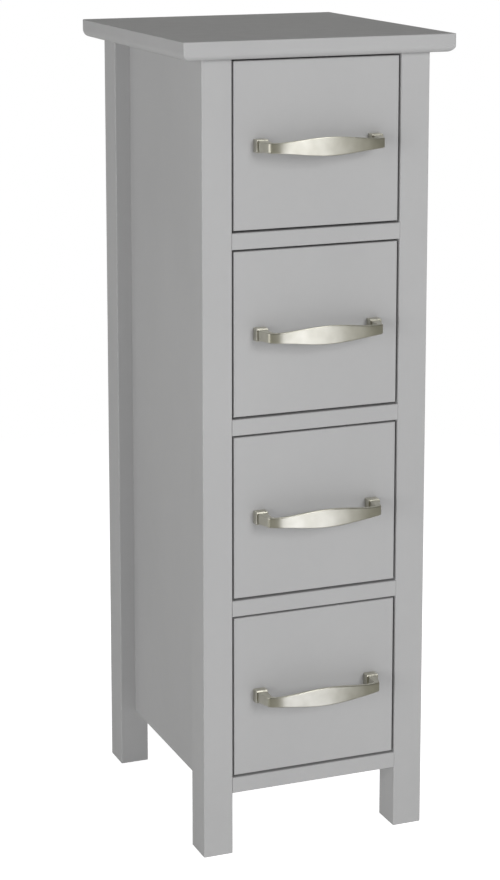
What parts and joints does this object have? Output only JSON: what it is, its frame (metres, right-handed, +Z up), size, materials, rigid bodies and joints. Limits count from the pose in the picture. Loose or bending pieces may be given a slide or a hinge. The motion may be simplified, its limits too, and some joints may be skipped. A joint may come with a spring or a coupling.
{
  "type": "bathroom storage tower",
  "caption": "Narrow free-standing bathroom storage tower: square post legs, an overhanging top and a stack of inset sliding drawers with bow handles.",
  "frame": {"origin": "on the floor, under the middle of the whole tower with its handles", "axes": "+Z up, -Y to the front where the drawers come out, +X to the right seen from the front"},
  "size_m": [0.278, 0.32, 0.8],
  "materials": {
    "grey_paint": "satin grey paint on board and solid wood",
    "back_board": "thin hardboard, painted grey on the outside",
    "drawer_wood": "bare pale softwood, sanded",
    "drawer_board": "bare thin hardboard",
    "runner_plastic": "moulded plastic runner",
    "handle_nickel": "satin nickel plating on a zinc casting",
    "zinc_fittings": "zinc-plated fittings",
    "dowel_wood": "beech dowel"
  },
  "bodies": {
    "carcass": {"top_panel": "grey_paint", "front_left_post": "grey_paint", "front_right_post": "grey_paint", "back_left_post": "grey_paint", "back_right_post": "grey_paint", "left_side_panel": "grey_paint", "right_side_panel": "grey_paint", "back_panel": "back_board", "base_panel": "grey_paint", "front_rail_1": "grey_paint", "front_rail_2": "grey_paint", "front_rail_3": "grey_paint", "front_rail_4": "grey_paint", "drawer_runners_1": "runner_plastic", "drawer_runners_2": "runner_plastic", "drawer_runners_3": "runner_plastic", "drawer_runners_4": "runner_plastic", "cam_locks": "zinc_fittings", "cam_bolts": "zinc_fittings", "wooden_dowels": "dowel_wood", "runner_screws": "zinc_fittings", "back_panel_pins": "zinc_fittings"},
    "drawer_1": {"drawer_1_front": "grey_paint", "drawer_1_left_side": "drawer_wood", "drawer_1_right_side": "drawer_wood", "drawer_1_back": "drawer_wood", "drawer_1_bottom": "drawer_board", "drawer_1_handle": "handle_nickel", "drawer_1_handle_screws": "zinc_fittings", "drawer_1_cam_locks": "zinc_fittings", "drawer_1_cam_bolts": "zinc_fittings"},
    "drawer_2": {"drawer_2_front": "grey_paint", "drawer_2_left_side": "drawer_wood", "drawer_2_right_side": "drawer_wood", "drawer_2_back": "drawer_wood", "drawer_2_bottom": "drawer_board", "drawer_2_handle": "handle_nickel", "drawer_2_handle_screws": "zinc_fittings", "drawer_2_cam_locks": "zinc_fittings", "drawer_2_cam_bolts": "zinc_fittings"},
    "drawer_3": {"drawer_3_front": "grey_paint", "drawer_3_left_side": "drawer_wood", "drawer_3_right_side": "drawer_wood", "drawer_3_back": "drawer_wood", "drawer_3_bottom": "drawer_board", "drawer_3_handle": "handle_nickel", "drawer_3_handle_screws": "zinc_fittings", "drawer_3_cam_locks": "zinc_fittings", "drawer_3_cam_bolts": "zinc_fittings"},
    "drawer_4": {"drawer_4_front": "grey_paint", "drawer_4_left_side": "drawer_wood", "drawer_4_right_side": "drawer_wood", "drawer_4_back": "drawer_wood", "drawer_4_bottom": "drawer_board", "drawer_4_handle": "handle_nickel", "drawer_4_handle_screws": "zinc_fittings", "drawer_4_cam_locks": "zinc_fittings", "drawer_4_cam_bolts": "zinc_fittings"}
  },
  "joints": [
    {"name": "drawer_1_slide", "type": "slide", "parent": "carcass", "child": "drawer_1", "axis": [0, -1, 0], "range_m": [0, 0.2]},
    {"name": "drawer_2_slide", "type": "slide", "parent": "carcass", "child": "drawer_2", "axis": [0, -1, 0], "range_m": [0, 0.2]},
    {"name": "drawer_3_slide", "type": "slide", "parent": "carcass", "child": "drawer_3", "axis": [0, -1, 0], "range_m": [0, 0.2]},
    {"name": "drawer_4_slide", "type": "slide", "parent": "carcass", "child": "drawer_4", "axis": [0, -1, 0], "range_m": [0, 0.2]}
  ]
}
